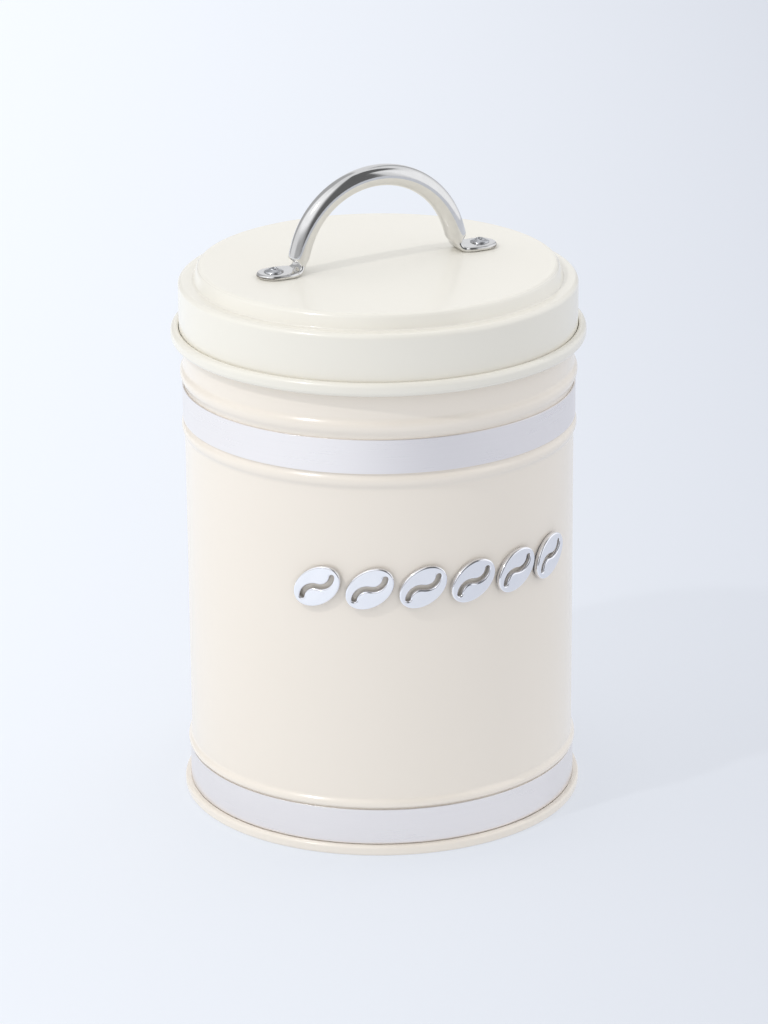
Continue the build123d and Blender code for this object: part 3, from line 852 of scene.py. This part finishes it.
def make_camera():
    """Long lens, a little above the lid and to the left of the emblem row's middle."""
    data = bpy.data.cameras.new("camera")
    data.sensor_width = CAMERA_SENSOR
    data.lens = CAMERA_LENS
    data.clip_end = CAMERA_SEES
    camera = bpy.data.objects.new("camera", data)
    bpy.context.scene.collection.objects.link(camera)
    place = Matrix.Rotation(CAMERA_TURN, 4, "Z") @ Matrix.Translation((0, -CAMERA_AWAY, CAMERA_HEIGHT))
    aim = Matrix.Rotation(-CAMERA_ASIDE, 4, "Z") @ Matrix.Rotation(pi / 2 - CAMERA_DOWN, 4, "X")
    camera.matrix_world = place @ aim @ Matrix.Rotation(CAMERA_ROLL, 4, "Z")
    bpy.context.scene.camera = camera


def make_light(name, bearing, height, away, side, power, colour, mirrored):
    """Square area light at a bearing in degrees from the tin's front (to the right is positive), aimed at the
    tin. Metal mirrors the tent in place of one that isn't mirrored."""
    data = bpy.data.lights.new(name, "AREA")
    data.size = side
    data.energy = power
    data.color = linear(colour)[:3]
    light = bpy.data.objects.new(name, data)
    light.visible_glossy = mirrored
    bpy.context.scene.collection.objects.link(light)
    place = Vector((sin(radians(bearing)) * away, -cos(radians(bearing)) * away, height))
    aim = (Vector((0, 0, LIGHTS_AIM_Z)) - place).to_track_quat("-Z", "Y").to_matrix().to_4x4()
    light.matrix_world = Matrix.Translation(place) @ aim


def make_room():
    """Even, slightly cool light from all round, as from a white room."""
    world = bpy.data.worlds.new("room")
    world.use_nodes = True
    background = world.node_tree.nodes["Background"]
    background.inputs["Color"].default_value = ROOM_LIGHT
    background.inputs["Strength"].default_value = 1.0
    bpy.context.scene.world = world


def patch(tree, turn, climb, turns, climbs):
    """1 inside a patch of the tent and 0 outside. It fades in from the first to the second of four angles,
    and out from the third to the fourth, both across and up."""
    inside = 1.0
    for angle, (outer_low, inner_low, inner_high, outer_high) in ((turn, turns), (climb, climbs)):
        for outer, inner in ((outer_low, inner_low), (outer_high, inner_high)):
            edge = add(tree, "ShaderNodeMapRange", {
                "Value": angle, "From Min": radians(outer), "From Max": radians(inner)},
                interpolation_type="SMOOTHSTEP")
            both = add(tree, "ShaderNodeMath", {0: edge.outputs[0], 1: inside}, operation="MULTIPLY")
            inside = both.outputs[0]
    return inside


def make_tent():
    """What polished metal mirrors: a round white tent whose cloth glows more or less in patches, such as a
    bright window to the left and a dark gap in front. Only mirrored rays see it, so it lights nothing else
    and casts no shadow."""
    rings, columns, pole = 60, 96, 89
    material = bpy.data.materials.new("tent_cloth")
    material.use_nodes = True
    tree = material.node_tree
    tree.nodes.clear()
    coordinates = add(tree, "ShaderNodeTexCoord")
    towards = add(tree, "ShaderNodeMapping", {
        "Vector": coordinates.outputs["Object"],
        "Location": (0, 0, -TENT_Z), "Rotation": (0, 0, -CAMERA_TURN)})
    axes = add(tree, "ShaderNodeSeparateXYZ", {0: towards.outputs[0]})
    near = add(tree, "ShaderNodeMath", {0: axes.outputs["Y"], 1: -1.0}, operation="MULTIPLY")
    turn = add(tree, "ShaderNodeMath", {0: axes.outputs["X"], 1: near.outputs[0]}, operation="ARCTAN2")
    height = add(tree, "ShaderNodeMath", {0: axes.outputs["Z"], 1: TENT_R}, operation="DIVIDE")
    climb = add(tree, "ShaderNodeMath", {0: height.outputs[0]}, operation="ARCSINE")
    glow = TENT_GLOW
    for brightness, turns, climbs in TENT_PATCHES:
        inside = patch(tree, turn.outputs[0], climb.outputs[0], turns, climbs)
        glow = add(tree, "ShaderNodeMix", {"Factor": inside, "A": glow, "B": brightness}).outputs["Result"]
    emission = add(tree, "ShaderNodeEmission", {"Color": TENT_COLOUR, "Strength": glow})
    add(tree, "ShaderNodeOutputMaterial", {"Surface": emission.outputs[0]})
    turns, climbs = np.meshgrid(full_turn(columns), np.radians(np.linspace(-pole, pole, rings)))
    points = np.stack([np.cos(climbs) * np.cos(turns), np.cos(climbs) * np.sin(turns), np.sin(climbs)], -1)
    points = TENT_R * points + np.array([0, 0, TENT_Z])
    mesh = bpy.data.meshes.new("tent")
    mesh.from_pydata(points.reshape(-1, 3).tolist(), [], quads(rings, columns, close_rows=False))
    mesh.materials.append(material)
    tent = bpy.data.objects.new("tent", mesh)
    bpy.context.scene.collection.objects.link(tent)
    tent.visible_camera = tent.visible_diffuse = tent.visible_shadow = tent.visible_transmission = False


make_floor()
make_camera()
make_room()
make_tent()
for light in LIGHTS:
    make_light(*light)
bpy.context.scene.view_settings.view_transform = "Standard"
